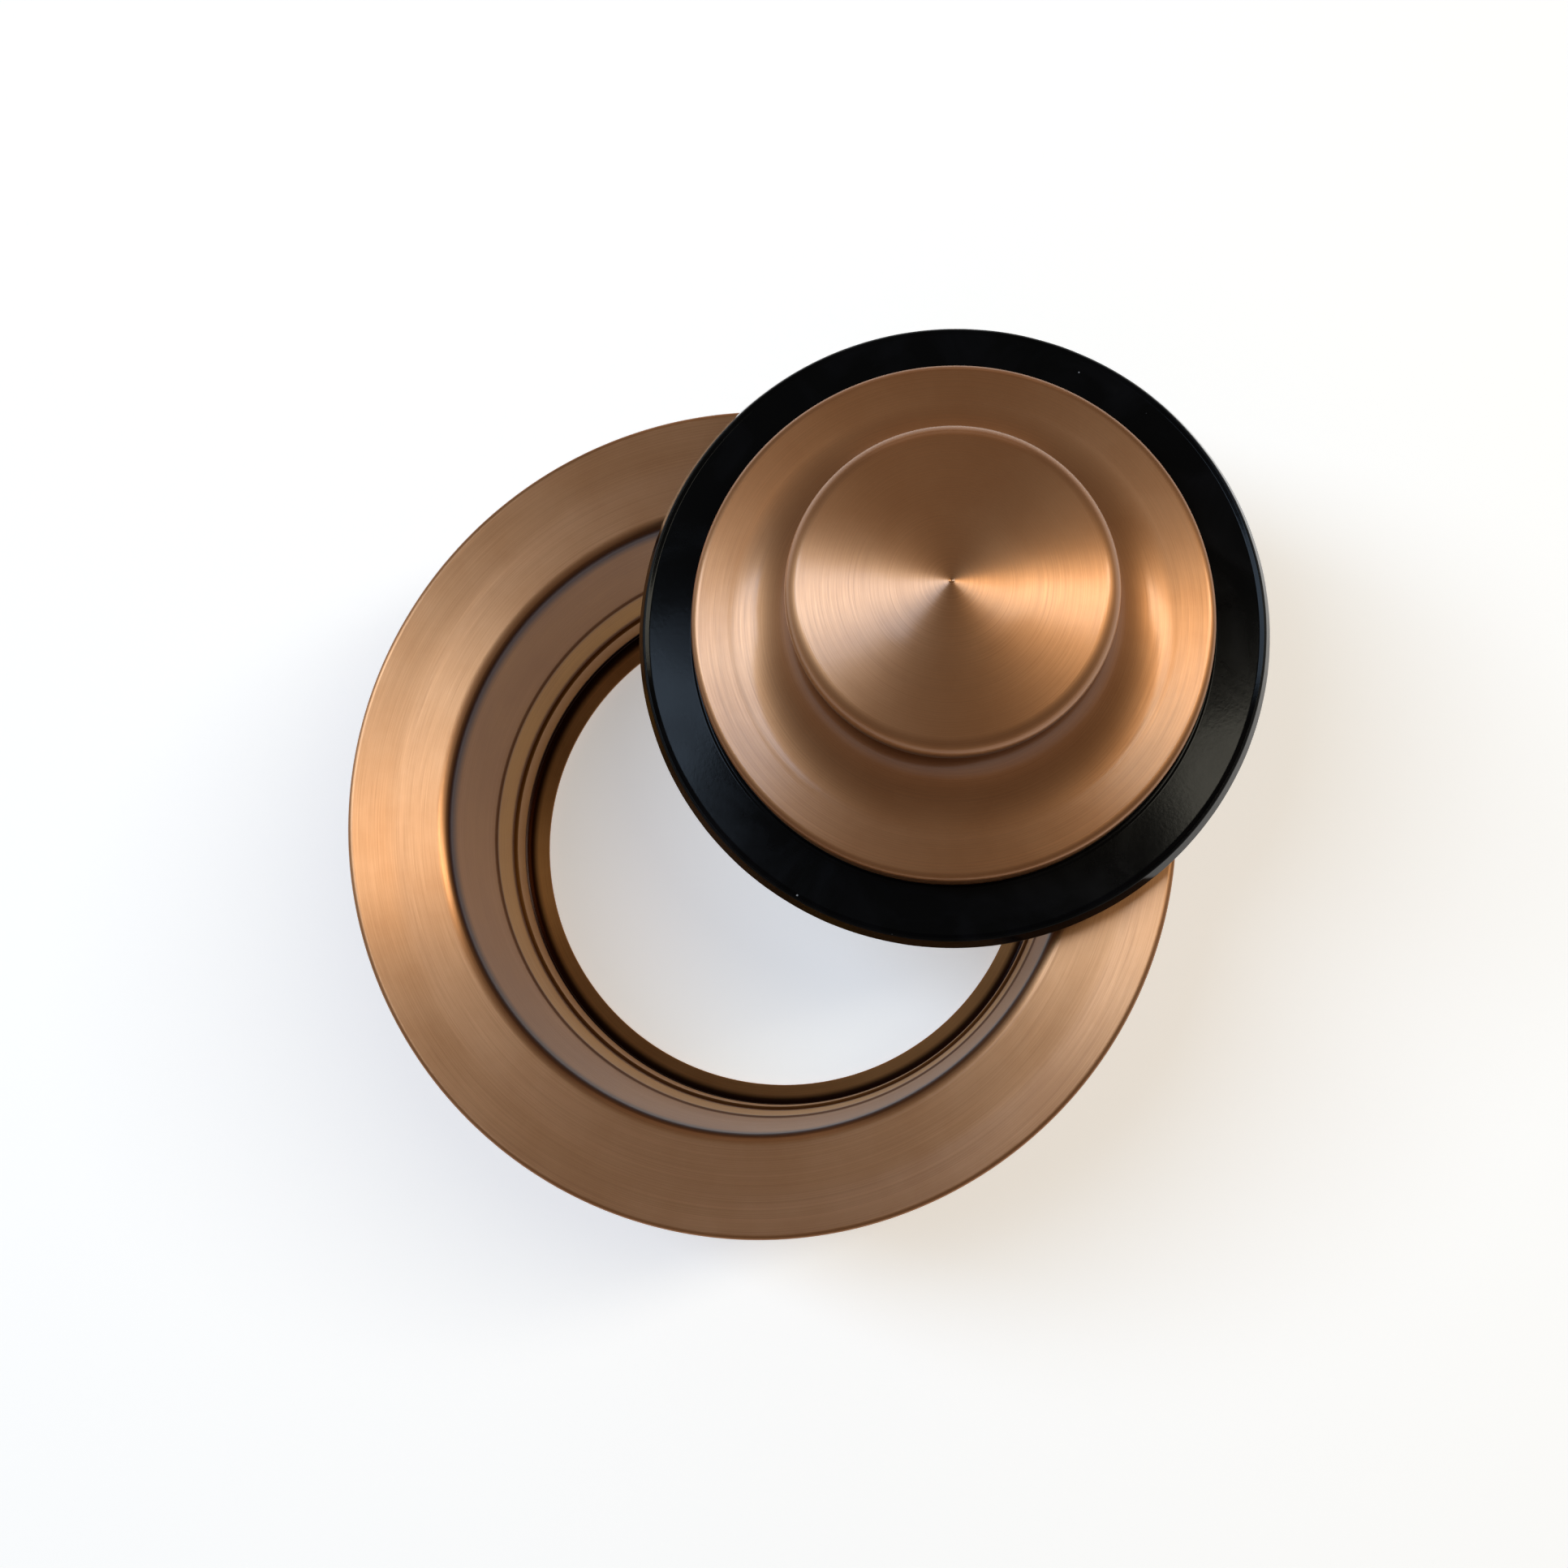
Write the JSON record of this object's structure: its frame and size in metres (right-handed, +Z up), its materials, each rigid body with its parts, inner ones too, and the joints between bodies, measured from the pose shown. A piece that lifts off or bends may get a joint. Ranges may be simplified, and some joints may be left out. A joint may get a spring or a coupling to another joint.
{
  "type": "sink flange and stopper",
  "caption": "Garbage disposal sink flange in brushed antique copper, with a knobbed stopper on a black rubber seal lying over the edge of its throat.",
  "frame": {"origin": "middle of the whole set's box, on the surface the flange stands on", "axes": "+Z up along the neck's axis; +X and +Y point to the right and to the back, and the stopper lies towards both"},
  "size_m": [0.1267, 0.1242, 0.0885],
  "materials": {
    "antique_copper": "brushed antique copper plate on brass",
    "black_rubber": "moulded, slightly glossy",
    "stainless_steel": "bright fastener steel"
  },
  "bodies": {
    "flange": {"sink_flange": "antique_copper"},
    "slider": {"backing_washer": "stainless_steel", "lock_washer": "stainless_steel"},
    "stopper": {"stopper_cap": "antique_copper", "stopper_seal": "black_rubber", "centre_stud": "stainless_steel", "hex_nut": "stainless_steel"}
  },
  "joints": [
    {"name": "stopper_slide", "type": "slide", "parent": "flange", "child": "slider", "axis": [-0.7384, -0.669, -0.085], "range_m": [0, 0.03646]},
    {"name": "stopper_turn", "type": "hinge", "parent": "slider", "child": "stopper", "pos_m": [0.02072, 0.01945, 0.053], "axis": [0, 0, 1], "continuous": true}
  ]
}
